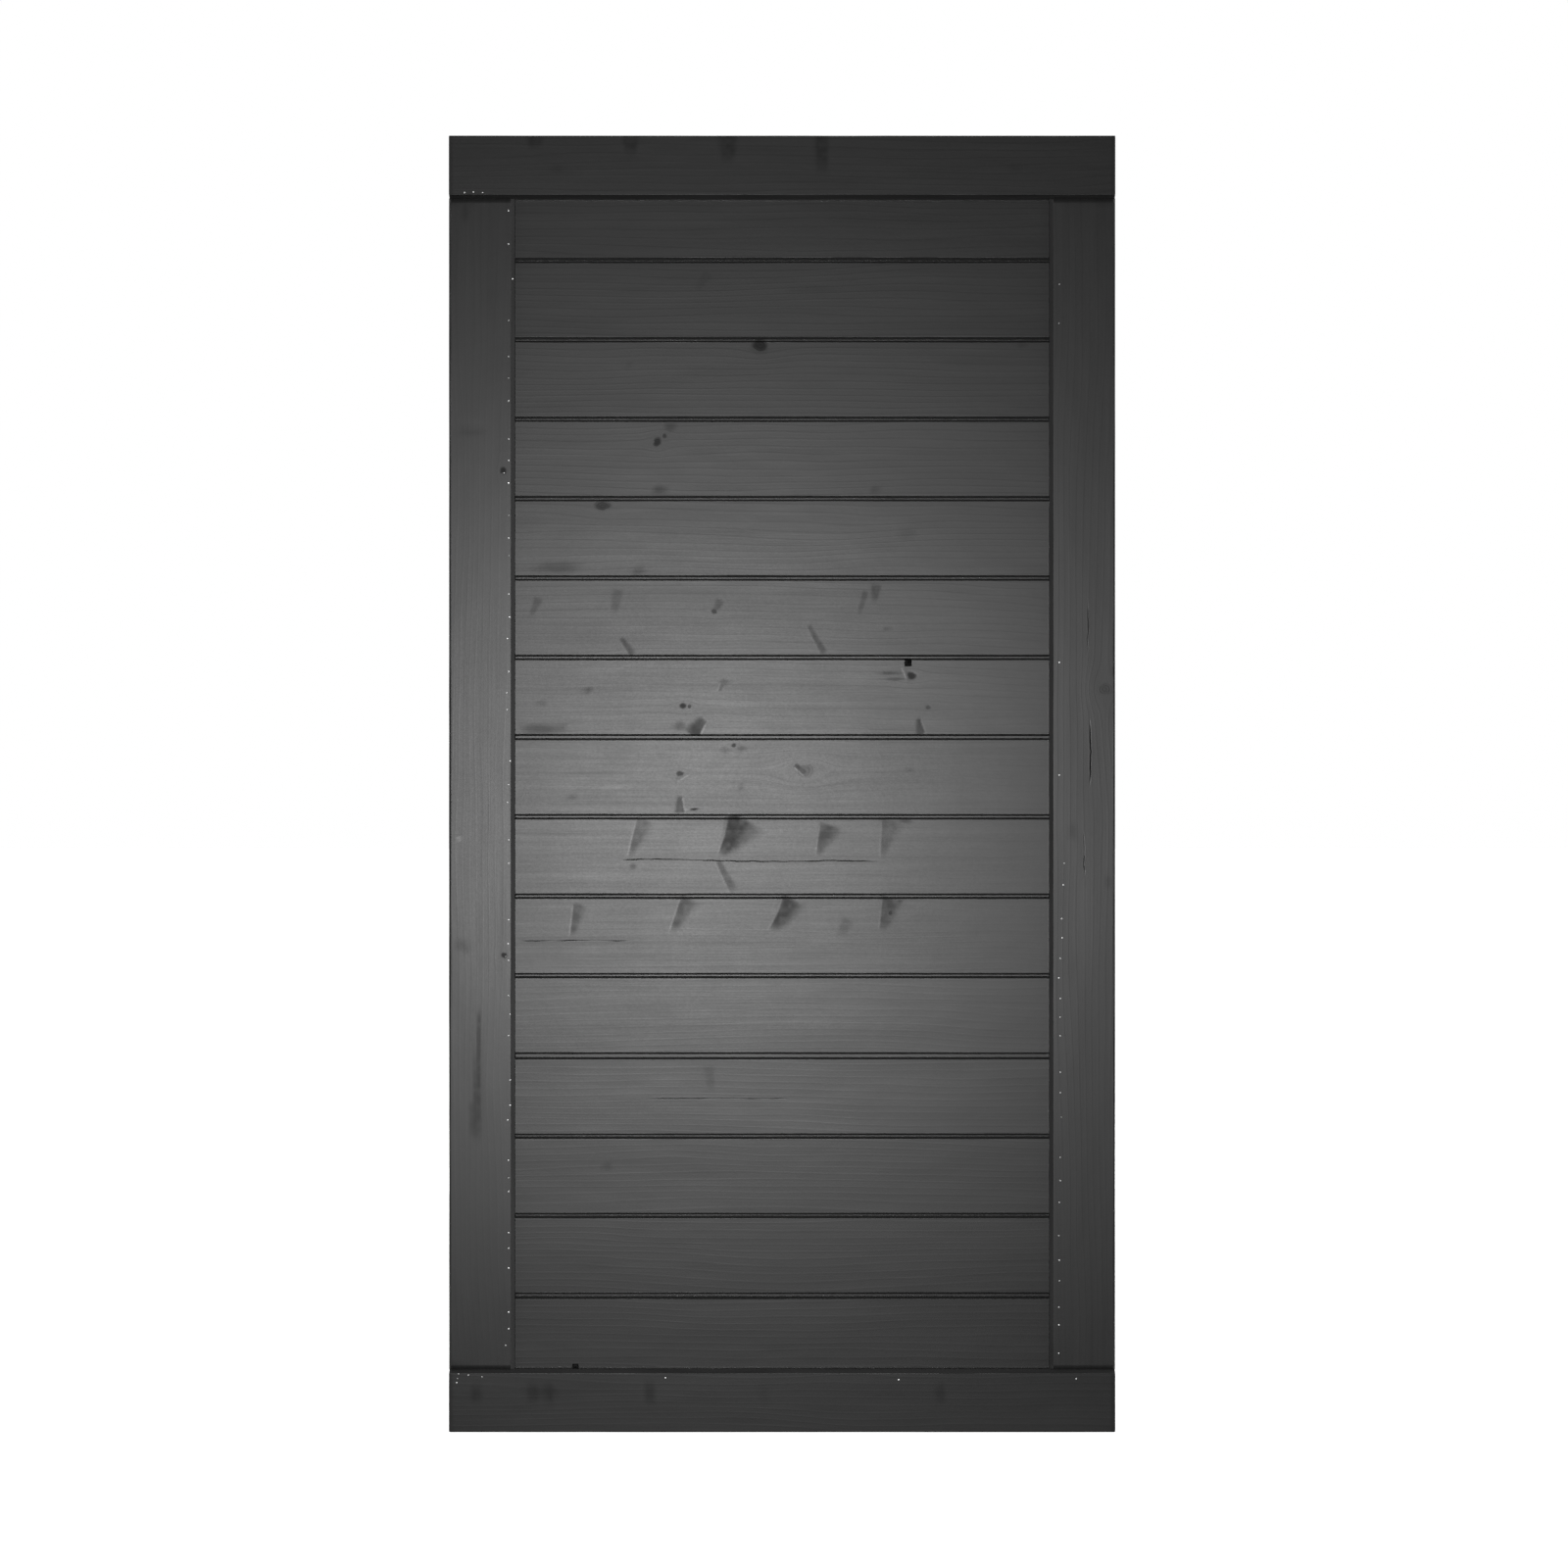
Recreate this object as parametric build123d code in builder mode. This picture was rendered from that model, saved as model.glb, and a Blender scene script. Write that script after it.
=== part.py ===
from build123d import *
import os

# Boarded side gate: the leaf alone, closed, seen from the front.
# X runs across the leaf from the hanging edge to the closing edge, Y runs
# through its thickness (the front faces -Y), Z runs up.
# The origin is on the hanging stile's outer edge, at mid height and mid thickness.

# ---- overall -------------------------------------------------------------
GATE_W = 915.0          # across the leaf
GATE_H = 1780.0         # height of the leaf
FRAME_T = 44.0          # thickness of rails and stiles

# ---- frame ---------------------------------------------------------------
RAIL_H = 86.0           # face height of top and bottom rail, full width
STILE_W = 90.0          # face width of the stiles, which stand between the rails
OUTER_ARRIS = 3.0       # chamfer on the stiles' outer long edges
FOOT_ARRIS = 1.8        # chamfer on the lower edge of the bottom rail
TOP_ARRIS = 0.8         # lighter chamfer on the upper edge of the top rail
INNER_ARRIS = 5.0       # chamfer on the rail and stile edges that face the boards
JOINT_ARRIS = 2.4       # chamfer on the stile ends, where they meet the rails
END_ARRIS = 0.8         # light chamfer round the end grain of the rails

# ---- panel groove and tenons ----------------------------------------------
BOARD_T = 20.0          # thickness of a board, and width of the groove it sits in
GROOVE_D = 12.0         # depth of the panel groove
END_PLAY = 1.5          # gap between a board's end and the groove's floor
TENON_L = 50.0          # stub tenon on each end of a stile
TENON_W = 52.0          # width of the tenon, across the stile
TENON_X = 15.0          # from the stile's outer edge to the tenon
TENON_PLAY = 2.0        # glue space under the tenon

# ---- boards ----------------------------------------------------------------
PITCH = 109.4           # cover width of a board, gap included
FIRST_JOINT = 1611.4    # height of the uppermost board joint above the gate's foot
GAP = 2.0               # open gap between two boards' shoulders
# a few joints have opened further than the rest: joint number -> extra width
EXTRA_GAP = {7: 0.8, 11: 2.4, 14: 1.7}
V_CHAMFER = 2.7         # chamfer on the boards' long edges, front and back
TONGUE_T = 6.0
TONGUE_L = 8.0
SLOT_T = 6.4            # groove in a board's lower edge
SLOT_D = 9.0

BOARDS = 15
HALF_T = FRAME_T / 2
HALF_B = BOARD_T / 2
Z_TOP = GATE_H / 2
Z_BOT = -GATE_H / 2
Z_RAIL_TOP = Z_TOP - RAIL_H       # underside of the top rail
Z_RAIL_BOT = Z_BOT + RAIL_H       # upper side of the bottom rail


def joint_height(n):
    """Height of board joint n, counted from the top, in the gate's frame."""
    opened = sum(w for k, w in EXTRA_GAP.items() if k < n)
    opened += EXTRA_GAP.get(n, 0.0) / 2
    return Z_BOT + FIRST_JOINT - PITCH * (n - 1) - opened


def joint_gap(n):
    return GAP + EXTRA_GAP.get(n, 0.0)


# ---- rails -----------------------------------------------------------------
# Section in the YZ plane, extruded the full width of the gate. Then the panel
# groove between the stiles, and a mortise over each stile.
groove_x0 = STILE_W - GROOVE_D
groove_x1 = GATE_W - STILE_W + GROOVE_D
mortise_centres = (TENON_X + TENON_W / 2, GATE_W - TENON_X - TENON_W / 2)

with BuildPart() as top_rail:
    with BuildSketch(Plane.YZ):
        with BuildLine():
            Polyline(
                (-HALF_T, Z_RAIL_TOP + INNER_ARRIS),
                (-HALF_T, Z_TOP - TOP_ARRIS),
                (-HALF_T + TOP_ARRIS, Z_TOP),
                (HALF_T - TOP_ARRIS, Z_TOP),
                (HALF_T, Z_TOP - TOP_ARRIS),
                (HALF_T, Z_RAIL_TOP + INNER_ARRIS),
                (HALF_T - INNER_ARRIS, Z_RAIL_TOP),
                (-HALF_T + INNER_ARRIS, Z_RAIL_TOP),
                close=True,
            )
        make_face()
    extrude(amount=GATE_W)
    chamfer(top_rail.faces().filter_by(Axis.X).edges(), END_ARRIS)
    with BuildSketch(Plane.XY.offset(Z_RAIL_TOP)):
        with Locations(((groove_x0 + groove_x1) / 2, 0)):
            Rectangle(groove_x1 - groove_x0, BOARD_T)
    extrude(amount=GROOVE_D, mode=Mode.SUBTRACT)
    with BuildSketch(Plane.XY.offset(Z_RAIL_TOP)):
        with Locations(*[(x, 0) for x in mortise_centres]):
            Rectangle(TENON_W, BOARD_T)
    extrude(amount=TENON_L + TENON_PLAY, mode=Mode.SUBTRACT)

with BuildPart() as bottom_rail:
    with BuildSketch(Plane.YZ):
        with BuildLine():
            Polyline(
                (-HALF_T, Z_BOT + FOOT_ARRIS),
                (-HALF_T, Z_RAIL_BOT - INNER_ARRIS),
                (-HALF_T + INNER_ARRIS, Z_RAIL_BOT),
                (HALF_T - INNER_ARRIS, Z_RAIL_BOT),
                (HALF_T, Z_RAIL_BOT - INNER_ARRIS),
                (HALF_T, Z_BOT + FOOT_ARRIS),
                (HALF_T - FOOT_ARRIS, Z_BOT),
                (-HALF_T + FOOT_ARRIS, Z_BOT),
                close=True,
            )
        make_face()
    extrude(amount=GATE_W)
    chamfer(bottom_rail.faces().filter_by(Axis.X).edges(), END_ARRIS)
    with BuildSketch(Plane.XY.offset(Z_RAIL_BOT)):
        with Locations(((groove_x0 + groove_x1) / 2, 0)):
            Rectangle(groove_x1 - groove_x0, BOARD_T)
    extrude(amount=-GROOVE_D, mode=Mode.SUBTRACT)
    with BuildSketch(Plane.XY.offset(Z_RAIL_BOT)):
        with Locations(*[(x, 0) for x in mortise_centres]):
            Rectangle(TENON_W, BOARD_T)
    extrude(amount=-(TENON_L + TENON_PLAY), mode=Mode.SUBTRACT)

# ---- stiles ----------------------------------------------------------------
# Section in the XY plane with the panel groove on the inner edge, the ends
# chamfered where they meet the rails, and a stub tenon at each end.
with BuildPart() as hanging_stile:
    with BuildSketch(Plane.XY.offset(Z_RAIL_BOT)):
        with BuildLine():
            Polyline(
                (0, -HALF_T + OUTER_ARRIS),
                (OUTER_ARRIS, -HALF_T),
                (STILE_W - INNER_ARRIS, -HALF_T),
                (STILE_W, -HALF_T + INNER_ARRIS),
                (STILE_W, -HALF_B),
                (STILE_W - GROOVE_D, -HALF_B),
                (STILE_W - GROOVE_D, HALF_B),
                (STILE_W, HALF_B),
                (STILE_W, HALF_T - INNER_ARRIS),
                (STILE_W - INNER_ARRIS, HALF_T),
                (OUTER_ARRIS, HALF_T),
                (0, HALF_T - OUTER_ARRIS),
                close=True,
            )
        make_face()
    extrude(amount=Z_RAIL_TOP - Z_RAIL_BOT)
    chamfer(
        hanging_stile.faces().filter_by(Axis.Z).edges()
        .filter_by(Axis.X).filter_by(lambda e: abs(abs(e.center().Y) - HALF_T) < 0.01),
        JOINT_ARRIS,
    )
    with BuildSketch(Plane.XY.offset(Z_RAIL_BOT - TENON_L)):
        with Locations((mortise_centres[0], 0)):
            Rectangle(TENON_W, BOARD_T)
    extrude(amount=Z_RAIL_TOP - Z_RAIL_BOT + 2 * TENON_L)

with BuildPart() as closing_stile:
    with BuildSketch(Plane.XY.offset(Z_RAIL_BOT)):
        with BuildLine():
            Polyline(
                (GATE_W, -HALF_T + OUTER_ARRIS),
                (GATE_W - OUTER_ARRIS, -HALF_T),
                (GATE_W - STILE_W + INNER_ARRIS, -HALF_T),
                (GATE_W - STILE_W, -HALF_T + INNER_ARRIS),
                (GATE_W - STILE_W, -HALF_B),
                (GATE_W - STILE_W + GROOVE_D, -HALF_B),
                (GATE_W - STILE_W + GROOVE_D, HALF_B),
                (GATE_W - STILE_W, HALF_B),
                (GATE_W - STILE_W, HALF_T - INNER_ARRIS),
                (GATE_W - STILE_W + INNER_ARRIS, HALF_T),
                (GATE_W - OUTER_ARRIS, HALF_T),
                (GATE_W, HALF_T - OUTER_ARRIS),
                close=True,
            )
        make_face()
    extrude(amount=Z_RAIL_TOP - Z_RAIL_BOT)
    chamfer(
        closing_stile.faces().filter_by(Axis.Z).edges()
        .filter_by(Axis.X).filter_by(lambda e: abs(abs(e.center().Y) - HALF_T) < 0.01),
        JOINT_ARRIS,
    )
    with BuildSketch(Plane.XY.offset(Z_RAIL_BOT - TENON_L)):
        with Locations((mortise_centres[1], 0)):
            Rectangle(TENON_W, BOARD_T)
    extrude(amount=Z_RAIL_TOP - Z_RAIL_BOT + 2 * TENON_L)

# ---- boards ----------------------------------------------------------------
# Each board is one section in the YZ plane: a groove in the lower edge, a tongue
# on the upper edge, chamfered long edges. The uppermost board is cut down to sit
# in the top rail's groove, the lowest in the bottom rail's groove.
board_x0 = groove_x0 + END_PLAY
board_x1 = groove_x1 - END_PLAY
EDGE_PLAY = 1.5          # gap between the cut boards and the rail grooves' floors

boards = []
for number in range(1, BOARDS + 1):
    if number == 1:
        z_high = Z_RAIL_TOP + GROOVE_D - EDGE_PLAY
    else:
        z_high = joint_height(number - 1) - joint_gap(number - 1) / 2
    if number == BOARDS:
        z_low = Z_RAIL_BOT - GROOVE_D + EDGE_PLAY
    else:
        z_low = joint_height(number) + joint_gap(number) / 2

    outline = []
    if number == BOARDS:
        # sawn lower edge, hidden in the bottom rail's groove
        outline += [(HALF_B, z_low), (-HALF_B, z_low)]
    else:
        outline += [
            (HALF_B, z_low + V_CHAMFER),
            (HALF_B - V_CHAMFER, z_low),
            (SLOT_T / 2, z_low),
            (SLOT_T / 2, z_low + SLOT_D),
            (-SLOT_T / 2, z_low + SLOT_D),
            (-SLOT_T / 2, z_low),
            (-HALF_B + V_CHAMFER, z_low),
            (-HALF_B, z_low + V_CHAMFER),
        ]
    if number == 1:
        # sawn upper edge, hidden in the top rail's groove
        outline += [(-HALF_B, z_high), (HALF_B, z_high)]
    else:
        outline += [
            (-HALF_B, z_high - V_CHAMFER),
            (-HALF_B + V_CHAMFER, z_high),
            (-TONGUE_T / 2, z_high),
            (-TONGUE_T / 2, z_high + TONGUE_L),
            (TONGUE_T / 2, z_high + TONGUE_L),
            (TONGUE_T / 2, z_high),
            (HALF_B - V_CHAMFER, z_high),
            (HALF_B, z_high - V_CHAMFER),
        ]
    with BuildPart() as board:
        with BuildSketch(Plane.YZ.offset(board_x0)):
            with BuildLine():
                Polyline(*outline, close=True)
            make_face()
        extrude(amount=board_x1 - board_x0)
    board.part.label = f"board_{number:02d}"
    boards.append(board)

# ---- write each piece ------------------------------------------------------
os.makedirs("parts", exist_ok=True)

top_rail.part.label = "top_rail"
export_step(top_rail.part, "parts/top_rail.step")
bottom_rail.part.label = "bottom_rail"
export_step(bottom_rail.part, "parts/bottom_rail.step")
hanging_stile.part.label = "hanging_stile"
export_step(hanging_stile.part, "parts/hanging_stile.step")
closing_stile.part.label = "closing_stile"
export_step(closing_stile.part, "parts/closing_stile.step")
for board in boards:
    export_step(board.part, f"parts/{board.part.label}.step")
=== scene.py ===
import math

import bpy
import numpy as np
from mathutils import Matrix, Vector


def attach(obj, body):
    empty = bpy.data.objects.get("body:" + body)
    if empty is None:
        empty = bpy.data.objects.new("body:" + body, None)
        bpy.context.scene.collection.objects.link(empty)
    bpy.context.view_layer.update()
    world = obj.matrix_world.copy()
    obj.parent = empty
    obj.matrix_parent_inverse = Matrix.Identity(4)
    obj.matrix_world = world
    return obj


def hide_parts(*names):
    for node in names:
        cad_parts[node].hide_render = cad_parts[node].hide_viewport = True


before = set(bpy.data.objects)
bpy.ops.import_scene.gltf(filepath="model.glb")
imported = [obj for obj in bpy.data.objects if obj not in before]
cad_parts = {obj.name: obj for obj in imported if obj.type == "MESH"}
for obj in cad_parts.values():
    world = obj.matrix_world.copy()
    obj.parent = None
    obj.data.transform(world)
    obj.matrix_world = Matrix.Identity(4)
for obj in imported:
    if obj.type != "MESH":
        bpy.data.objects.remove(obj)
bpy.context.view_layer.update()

# ---------------------------------------------------------------------------
# Sizes of the leaf, in metres. X across, front faces -Y, Z up, origin on the
# hanging stile's outer edge at mid height.
# ---------------------------------------------------------------------------
W, H, T = 0.915, 1.780, 0.044
RAIL, STILE = 0.086, 0.090
OUTER, FOOT, TOPA, INNER, JOINT, ENDA = 0.0030, 0.0018, 0.0008, 0.0050, 0.0024, 0.0008
BT, GROOVE, PLAY = 0.020, 0.012, 0.0015
PITCH, FIRST, GAP = 0.1094, 1.6114, 0.0020
EXTRA = {7: 0.0008, 11: 0.0024, 14: 0.0017}
VCH, TONGUE_T, TONGUE_L, SLOT_T, SLOT_D = 0.0027, 0.006, 0.008, 0.0064, 0.009
Z1, Z0 = H / 2, -H / 2
ZT, ZB = Z1 - RAIL, Z0 + RAIL
PX = 0.001345          # one photograph pixel on the front of the leaf


MX = (800 - 457.9) * PX


def at(px, py, set_back=False):
    """Across and up, in metres, of a point given in photograph pixels. The boards
    lie 12 mm further back than the frame."""
    x, z = (px - 457.9) * PX, (800.1 - py) * PX
    if set_back:
        x, z = MX + (x - MX) * 1.00358, z * 1.00358
    return x, z


def joint_z(n):
    opened = sum(w for k, w in EXTRA.items() if k < n) + EXTRA.get(n, 0.0) / 2
    return Z0 + FIRST - PITCH * (n - 1) - opened


def joint_gap(n):
    return GAP + EXTRA.get(n, 0.0)


# ---------------------------------------------------------------------------
# Smooth repeatable noise for shapes
# ---------------------------------------------------------------------------
def hash01(i, j, seed):
    n = (np.asarray(i, np.int64) * 374761393 + np.asarray(j, np.int64) * 668265263 + int(seed) * 1274126177) & 0xFFFFFFFF
    n = ((n ^ (n >> 13)) * 1274126177) & 0xFFFFFFFF
    return ((n ^ (n >> 16)) & 0xFFFFFF) / float(0xFFFFFF)


def vnoise(x, y, seed):
    """Value noise in -1..1."""
    x, y = np.asarray(x, float), np.asarray(y, float)
    xi, yi = np.floor(x), np.floor(y)
    fx, fy = x - xi, y - yi
    fx, fy = fx * fx * (3 - 2 * fx), fy * fy * (3 - 2 * fy)
    a, b = hash01(xi, yi, seed), hash01(xi + 1, yi, seed)
    c, d = hash01(xi, yi + 1, seed), hash01(xi + 1, yi + 1, seed)
    return 2 * (a + (b - a) * fx + (c - a) * fy + (a - b - c + d) * fx * fy) - 1


def smooth(a, b, x):
    t = np.clip((x - a) / (b - a), 0, 1)
    return t * t * (3 - 2 * t)


# ---------------------------------------------------------------------------
# Section outlines
# ---------------------------------------------------------------------------
def rounded(points, radii, steps=2):
    """A closed outline with each corner rounded to its radius."""
    out = []
    n = len(points)
    for i in range(n):
        p = np.array(points[i], float)
        r = radii[i]
        if r <= 0:
            out.append(tuple(p))
            continue
        a = np.array(points[i - 1], float) - p
        b = np.array(points[(i + 1) % n], float) - p
        la, lb = np.linalg.norm(a), np.linalg.norm(b)
        a, b = a / la, b / lb
        half = math.acos(max(-1, min(1, float(a @ b)))) / 2
        cut = min(r / math.tan(half), la * 0.45, lb * 0.45)
        s, e = p + a * cut, p + b * cut
        for k in range(steps + 1):
            t = k / steps
            out.append(tuple((1 - t) ** 2 * s + 2 * t * (1 - t) * p + t * t * e))
    return out


def spaced(a, b, base, spots=()):
    """Coordinates from a to b, base apart, closer near each spot (centre, reach, fine)."""
    xs, x = [a], a
    while x < b:
        h = base
        for c, reach, fine in spots:
            d = max(0.0, abs(x - c) - reach)
            h = min(h, fine + d * 0.50)
        x += h
        xs.append(x)
    xs = np.array(xs)
    xs = a + (xs - a) * (b - a) / (xs[-1] - a)
    return xs


# ---------------------------------------------------------------------------
# What the timber shows. Every mark is given in photograph pixels.
# ---------------------------------------------------------------------------
MARKS = {}
SURFACE = {}
# how much each member's inner chamfers are lightened in colour, as painted light where they face the lamp, and made
# rougher
CHAMFER_LIGHT = {"hanging_stile": 1.0, "bottom_rail": 0.40, "closing_stile": 0.15}


def mark(member, kind, *values, **words):
    MARKS.setdefault(member, []).append((kind, values, words))


def inner_is_high(name):
    return name in ("hanging_stile", "bottom_rail")


# ---------------------------------------------------------------------------
# Members. Each is a section swept along its grain: "u" runs along the grain,
# "v" across the face, "y" through the thickness.
# ---------------------------------------------------------------------------
def build(name, axis, u0, u1, outline, seed, cup=0.0, tilt=0.0, bow=0.0,
          slot_range=None, ends="flat", end_round=0.0008):
    """outline: closed list of (v, y, side) with side in 'F', 'B' or ''. Long runs on
    the faces are divided here, finely round the marks."""
    marks = MARKS.get(name, [])
    back_marks = MARKS.get(name + "#back", [])
    vmin = min(p[0] for p in outline)
    vmax = max(p[0] for p in outline)

    def uv(px, py):
        x, z = at(px, py, name.startswith("board"))
        return (x, z) if axis == "X" else (z, x)

    def spots_of(which):
        us, vs = [], []
        for kind, val, words in which:
            if kind in ("knot", "chip"):
                u, v = uv(val[0], val[1])
                r = words.get("r", (6, 6))
                ru, rv = (r[0], r[1]) if axis == "X" else (r[1], r[0])
                fine = 0.0006 if kind == "chip" else 0.0011
                us.append((u, ru * PX * 1.2, fine))
                vs.append((v, rv * PX * 1.2, fine))
            elif kind == "spike":
                (ax, ay), (bx, by) = val[0], val[1]
                ua, va = uv(ax, ay)
                ub, vb = uv(bx, by)
                us.append(((ua + ub) / 2, abs(ua - ub) / 2 + max(words["w"]) * PX * 0.6, 0.0016))
                vs.append(((va + vb) / 2, abs(va - vb) / 2, 0.0027))
            elif kind == "crack":
                pts = [uv(*p) for p in val[0]]
                vm = float(np.mean([p[1] for p in pts]))
                vs.append((vm, 0.0012, 0.0004))
                for p in pts:
                    us.append((p[0], 0.006, 0.003))
        return us, vs

    us_f, vs_f = spots_of(marks)
    us_b, vs_b = spots_of(back_marks)
    us = spaced(u0, u1, 0.0070, us_f + us_b)
    if end_round:
        ins = end_round
        us = us[(us > u0 + ins * 1.6) & (us < u1 - ins * 1.6)]
        us = np.concatenate([[u0, u0 + ins * 0.3, u0 + ins], us, [u1 - ins, u1 - ins * 0.3, u1]])
    if slot_range:
        a, b = slot_range
        us = us[(np.abs(us - a) > 0.0012) & (np.abs(us - b) > 0.0012)]
        us = np.sort(np.concatenate([us, [a - 0.0004, a + 0.0004, b - 0.0004, b + 0.0004]]))

    # divide the outline's long face runs
    prof = []
    n = len(outline)
    for i in range(n):
        p, q = outline[i], outline[(i + 1) % n]
        prof.append((p[0], p[1], p[2]))
        side = p[2] if p[2] == q[2] else ""
        length = math.hypot(q[0] - p[0], q[1] - p[1])
        if side and length > 0.02:
            lo, hi = min(p[0], q[0]), max(p[0], q[0])
            rows = spaced(lo, hi, 0.0052 if side == "F" else 0.0075, vs_f if side == "F" else vs_b)[1:-1]
            rows = rows[(rows > lo + 0.0012) & (rows < hi - 0.0012)]
            rows = np.concatenate([[lo + 0.0004], rows, [hi - 0.0004]])
            if p[0] > q[0]:
                rows = rows[::-1]
            for v in rows:
                t = (v - p[0]) / (q[0] - p[0])
                prof.append((v, p[1] + t * (q[1] - p[1]), side))
        elif not side and 0.0012 < length < 0.012:
            for t in (0.0003 / length, 1 - 0.0003 / length):
                prof.append((p[0] + t * (q[0] - p[0]), p[1] + t * (q[1] - p[1]), ""))
        elif not side and length > 0.012:
            k = max(1, int(length / 0.009))
            for j in range(1, k):
                t = j / k
                prof.append((p[0] + t * (q[0] - p[0]), p[1] + t * (q[1] - p[1]), ""))
    pv = np.array([p[0] for p in prof])
    py = np.array([p[1] for p in prof])
    front = np.array([p[2] == "F" for p in prof])
    back = np.array([p[2] == "B" for p in prof])
    groove = np.array([p[2] == "G" for p in prof])
    nu, nv = len(us), len(prof)
    U = np.repeat(us[:, None], nv, 1)
    V = np.repeat(pv[None, :], nu, 0)
    Y = np.repeat(py[None, :], nu, 0)

    # the panel groove stops short of the ends
    if slot_range:
        a, b = slot_range
        inside = smooth(a - 0.0004, a + 0.0004, us) * (1 - smooth(b - 0.0004, b + 0.0004, us))
        lip = vmin if abs(pv[groove].mean() - vmin) < abs(pv[groove].mean() - vmax) else vmax
        g = np.where(groove)[0]
        V[:, g] = lip + (V[:, g] - lip) * (0.004 + 0.996 * inside[:, None])

    # fields on both faces
    fields = {}
    for side, sgn, which in (("F", 1.0, marks), ("B", -1.0, back_marks)):
        relief = np.zeros_like(U)
        dark = np.zeros_like(U)
        ring = np.full_like(U, 4.0)
        warp = np.zeros_like(U)
        gloss = np.zeros_like(U)
        Vs = V.copy()
        for kind, val, words in which:
            if kind == "crack":
                pts = np.array([uv(*p) for p in val[0]])
                pts = pts[np.argsort(pts[:, 0])]
                vm = float(pts[:, 1].mean())
                vc = np.interp(U, pts[:, 0], pts[:, 1])
                vc = vc + 0.0004 * vnoise(U / 0.011, 0 * U, seed + 5) + 0.0002 * vnoise(U / 0.0035, 0 * U, seed + 6)
                Vs = Vs + (vc - vm) * np.exp(-((V - vm) / 0.009) ** 2) * (front if side == "F" else back)
                a, b = pts[0, 0], pts[-1, 0]
                env = smooth(a, a + 0.02, U) * (1 - smooth(b - 0.02, b, U))
                env *= np.clip(0.75 + 0.5 * vnoise(U / 0.018, 0 * U, seed + 7), 0.15, 1)
                wd = words.get("w", 0.0005)
                prof_c = np.exp(-((V - vm) / wd) ** 4)
                relief += words.get("d", 0.0012) * env * prof_c
                relief -= 0.00002 * env * np.exp(-((np.abs(V - vm) - 0.0016) / 0.0010) ** 2)
                # painted shade: the crack's groove is darkened in colour and its sheen cut
                dark = np.maximum(dark, words.get("dark", 0.9) * env * prof_c)
        Va = Vs
        for kind, val, words in which:
            if kind == "knot":
                u, v = uv(val[0], val[1])
                r = words.get("r", (6, 6))
                ru, rv = (r[0], r[1]) if axis == "X" else (r[1], r[0])
                ru, rv = ru * PX, rv * PX
                th = math.radians(words.get("a", 0))
                du, dv = U - u, Va - v
                x = du * math.cos(th) + dv * math.sin(th)
                z = -du * math.sin(th) + dv * math.cos(th)
                wob = 1 + 0.16 * vnoise(np.arctan2(z, x) * 1.3 + 9, 0 * U, seed + int(val[0]))
                d = np.sqrt((x / ru) ** 2 + (z / rv) ** 2) * wob
                ring = np.minimum(ring, d)
                dk = words.get("dark", 0.6)
                dark = np.maximum(dark, dk * (1 - smooth(0.55, 1.25, d)))
                rl = words.get("lift", 0.0)
                relief -= rl * (1 - smooth(0.7, 1.5, d))
                relief += 0.5 * abs(rl) * np.exp(-((d - 1.15) / 0.16) ** 2)
                wr = words.get("flow", 1.0)
                warp -= 0.75 * wr * (Va - v) * np.exp(-(du / (ru * 3.4)) ** 2 - (dv / (rv * 2.2)) ** 2)
            elif kind == "spike":
                (ax, ay), (bx, by) = val[0], val[1]
                ua, va = uv(ax, ay)
                ub, vb = uv(bx, by)
                w0, w1 = words["w"][0] * PX / 2, words["w"][1] * PX / 2
                L = math.hypot(ub - ua, vb - va)
                tx, tz = (ub - ua) / L, (vb - va) / L
                s = ((U - ua) * tx + (Va - va) * tz) / L
                c = words.get("curve", 0.0) * PX
                q = (U - ua) * (-tz) + (Va - va) * tx + c * (np.clip(s, 0, 1) * (1 - np.clip(s, 0, 1)) * 4)
                wd = np.maximum(w0 + (w1 - w0) * np.clip(s, 0, 1), 1e-5)
                e0, e1 = words.get("edge", (0.8, 0.3))     # softness of the two flanks
                if words.get("flip"):
                    q = -q
                m = smooth(-wd * (1 + e0), -wd * (1 - e0 * 0.5), q) * (1 - smooth(wd * (1 - e1 * 0.5), wd * (1 + e1), q))
                m *= smooth(-words.get("soft", (0.12, 0.25))[0], 0.02, s) * (1 - smooth(1 - words.get("soft", (0.12, 0.25))[1], 1.04, s))
                m *= np.clip(0.85 + 0.3 * vnoise(U / 0.006, Va / 0.006, seed + int(ax)), 0, 1)
                fade = words.get("fade", 0.0)
                m *= 1 - fade * np.clip(s, 0, 1)
                dark = np.maximum(dark, words.get("dark", 0.5) * m)
                relief += words.get("sink", 0.00002) * m
                rim = words.get("rim", 0.0)
                if rim:
                    flank = -1 if e0 <= e1 else 1      # the torn grain stands up along the sharper flank
                    gloss += rim * np.exp(-((q - flank * (wd + 0.9 * PX)) / (0.9 * PX)) ** 2) * smooth(-0.02, 0.1, s) * (1 - smooth(0.85, 1.05, s))
            elif kind == "smudge":
                u, v = uv(val[0], val[1])
                r = words.get("r", (20, 10))
                ru, rv = (r[0], r[1]) if axis == "X" else (r[1], r[0])
                d = np.sqrt(((U - u) / (ru * PX)) ** 2 + ((Va - v) / (rv * PX)) ** 2)
                d = d * (1 + 0.25 * vnoise(U / 0.012, Va / 0.008, seed + int(val[0]) + 3))
                m = (1 - smooth(0.2, 1.15, d))
                k = words.get("dark", 0.25)
                if k >= 0:
                    dark = np.maximum(dark, k * m)
                else:
                    gloss += -k * m
            elif kind == "chip":
                u, v = uv(val[0], val[1])
                r = words.get("r", (4, 4))
                ru, rv = (r[0], r[1]) if axis == "X" else (r[1], r[0])
                dd = np.maximum(np.abs(U - u) / (ru * PX), np.abs(Va - v) / (rv * PX))
                dd = dd * (1 + 0.12 * vnoise(U / 0.0025, Va / 0.0025, seed + 31))
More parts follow.
